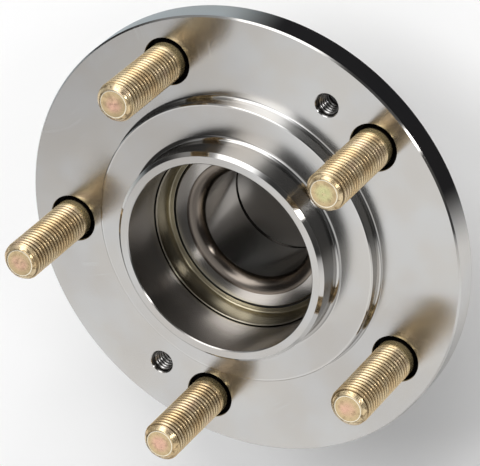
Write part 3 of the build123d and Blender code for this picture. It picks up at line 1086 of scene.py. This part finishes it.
# Studio: rings of light and dark cards stand round the part, one below another.  Going round by
# azimuth, each list gives how bright the card is there; overhead the room is plain, and a small
# lamp hangs on one side.  The floor is pale, but what the steel mirrors of it is dark on one side,
# blue on another and faintly lit under the bore.  Two soft lamps give the floor its shadow.
studio = {
    "floorHeight": cadBox[0][2],
    "floorSize": 6.0,
    "floorColour": (0.84, 0.84, 0.84),
    "floorGlow": 0.08,
    "floorRoughness": 0.9,
    "dark": (0.02, 0.02, 0.022),
    "darkAzimuth": -115,
    "darkReach": (38, 61),
    "blue": (0.44, 0.49, 0.52),
    "blueReach": (-65, 5, 22),
    "underBore": (17.0 * mm, 17.4 * mm),
    "underBoreGlow": 0.60,
    "glowSideY": (7 * mm, 8.4 * mm),
    "glowSideX": (0.5 * mm, 4 * mm),
    "glowOppositeX": (5 * mm, 11 * mm),
    "glowShares": (0.85, 0.07, 0.03),
    "room": 0.62,
    "ambient": 0.34,
    "ringLow": (33, 39),
    "ringHigh": (57, 64),
    "overhead": (74, 80),
    "lamp": (-138, 38),
    "lampReach": (1.5, 6.5),
    "lampStrength": 12.0,
    "cards": [
        # azimuth in degrees, strength
        (-180, 0.04), (-148, 0.04), (-140, 0.16), (-134, 0.16), (-126, 0.04), (-98, 0.05),
        (-84, 0.35), (-74, 2.1), (-58, 2.6), (-40, 2.1), (-26, 0.35), (-16, 0.05), (44, 0.04),
        (51, 0.62), (57, 0.96), (70, 1.06), (88, 0.62), (104, 0.40), (122, 0.50), (150, 0.50),
        (160, 0.40), (169, 0.06), (180, 0.04),
    ],
    "highCards": [
        (-180, 0.55), (-96, 0.55), (-82, 1.1), (-70, 2.2), (-40, 2.6), (-28, 1.7), (-14, 0.5),
        (30, 0.4), (50, 0.8), (70, 1.0), (95, 0.7), (180, 0.55),
    ],
    "lowCards": [
        (-180, 0.30), (-176, 0.05), (-150, 0.10), (-120, 0.13), (-104, 0.07), (-94, 0.35),
        (-86, 1.5), (-74, 2.3), (-58, 2.4), (-51, 1.9), (-44, 0.36), (-25, 0.30), (-16, 0.12),
        (-6, 0.04), (46, 0.04), (62, 0.35), (80, 0.6), (100, 0.72), (132, 0.72), (156, 0.95),
        (172, 0.75), (180, 0.30),
    ],
    "keyDistance": 2.4,
    "keys": [
        # name, azimuth and elevation in degrees, size in metres, power in watts
        ("high", -50, 55, 1.2, 20.0),
        ("wide", -82, 27, 1.6, 55.0),
    ],
}


def glowUnderBore(sheet, x, y):
    # The light that the bore mirrors from below: bright on one side, faint opposite and elsewhere.
    near, opposite, rest = studio["glowShares"]
    under = sheet.fall(sheet.length(x, y), *studio["underBore"])
    side = sheet.times(sheet.rise(y, *studio["glowSideY"]), sheet.fall(x, *studio["glowSideX"]))
    patch = sheet.plus(sheet.times(side, near),
                       sheet.times(sheet.rise(x, *studio["glowOppositeX"]), opposite))
    return sheet.times(sheet.times(under, sheet.plus(patch, rest)), studio["underBoreGlow"])


def makeFloor():
    size, level, tone = studio["floorSize"], studio["floorHeight"], studio["floorColour"]
    mesh = bpy.data.meshes.new("floor")
    mesh.from_pydata([(-size, -size, level), (size, -size, level), (size, size, level),
                      (-size, size, level)], [], [(0, 1, 2, 3)])
    floor = newObject("floor", mesh)
    material, sheet, shader = newMetal("paleFloor", metallic=0.0)
    shader.inputs["Roughness"].default_value = studio["floorRoughness"]
    shader.inputs["Specular IOR Level"].default_value = 0.0
    path = sheet.add("ShaderNodeLightPath").outputs
    x, y = sheet.parts(sheet.add("ShaderNodeTexCoord").outputs["Object"])[:2]
    angle = math.radians(studio["darkAzimuth"])
    beside = sheet.minus(sheet.times(y, math.cos(angle)), sheet.times(x, math.sin(angle)))
    ahead = sheet.plus(sheet.times(x, math.cos(angle)), sheet.times(y, math.sin(angle)))
    away = sheet.math("ABSOLUTE", sheet.math("ARCTAN2", beside, ahead))
    light = sheet.rise(away, *radians(studio["darkReach"]))
    blue = sheet.band(sheet.math("ARCTAN2", y, x), *radians(studio["blueReach"]))
    mirrored = sheet.mix(light, studio["dark"], sheet.mix(blue, tone, studio["blue"]))
    sheet.feed(shader.inputs["Base Color"], sheet.mix(path["Is Glossy Ray"], tone, mirrored))
    shader.inputs["Emission Color"].default_value = (1, 1, 1, 1)
    sheet.feed(shader.inputs["Emission Strength"], sheet.plus(
        sheet.times(path["Is Camera Ray"], studio["floorGlow"]),
        sheet.times(path["Is Glossy Ray"], glowUnderBore(sheet, x, y))))
    mesh.materials.append(material)


def cardRing(sheet, turn, cards):
    # A smooth curve through the cards' strengths, read at one turn's fraction.
    curve = sheet.add("ShaderNodeFloatCurve", {"Value": turn})
    line = curve.mapping.curves[0]
    top = max(strength for azimuth, strength in cards)
    stops = [((azimuth + 180) / 360, strength / top) for azimuth, strength in cards]
    for place in stops[1:-1]:
        line.points.new(*place)
    line.points[0].location = stops[0]
    line.points[len(stops) - 1].location = stops[-1]
    for point in line.points:
        point.handle_type = "AUTO_CLAMPED"
    curve.mapping.update()
    return sheet.times(curve.outputs[0], top)


def makeWorld():
    world = bpy.data.worlds.new("studio")
    bpy.context.scene.world = world
    world.use_nodes = True
    sheet = Sheet(world.node_tree)
    back = world.node_tree.nodes["Background"]
    unit = sheet.add("ShaderNodeVectorMath", {
        0: sheet.add("ShaderNodeTexCoord").outputs["Generated"]}, operation="NORMALIZE").outputs[0]
    x, y, z = sheet.parts(unit)

    def above(key):
        return sheet.rise(z, *[math.sin(angle) for angle in radians(studio[key])])

    turn = sheet.plus(0.5, sheet.math("DIVIDE", sheet.math("ARCTAN2", y, x), 2 * math.pi))
    low, middle, high = [cardRing(sheet, turn, studio[key])
                         for key in ("lowCards", "cards", "highCards")]
    around = sheet.lerp(above("ringLow"), low, middle)
    around = sheet.lerp(above("ringHigh"), around, high)
    lamp = sheet.fall(sheet.distance(unit, tuple(direction(*studio["lamp"]))),
                      *radians(studio["lampReach"]))
    around = sheet.plus(around, sheet.times(lamp, studio["lampStrength"]))
    path = sheet.add("ShaderNodeLightPath").outputs
    strength = sheet.lerp(above("overhead"), around, studio["room"])
    strength = sheet.lerp(path["Is Diffuse Ray"], strength, studio["ambient"])
    sheet.feed(back.inputs["Strength"], sheet.lerp(path["Is Camera Ray"], strength, 1.0))
    back.inputs["Color"].default_value = (1, 1, 1, 1)


def makeKeys():
    for name, azimuth, elevation, size, power in studio["keys"]:
        data = bpy.data.lights.new(name, "AREA")
        data.shape = "DISK"
        data.size = size
        data.energy = power
        lamp = newObject(name, data)
        toward = direction(azimuth, elevation)
        lamp.location = toward * studio["keyDistance"]
        lamp.rotation_euler = toward.to_track_quat("Z", "Y").to_euler()
        lamp.visible_glossy = False


print("studio")
makeFloor()
makeWorld()
makeKeys()
bpy.context.scene.view_settings.view_transform = "Standard"
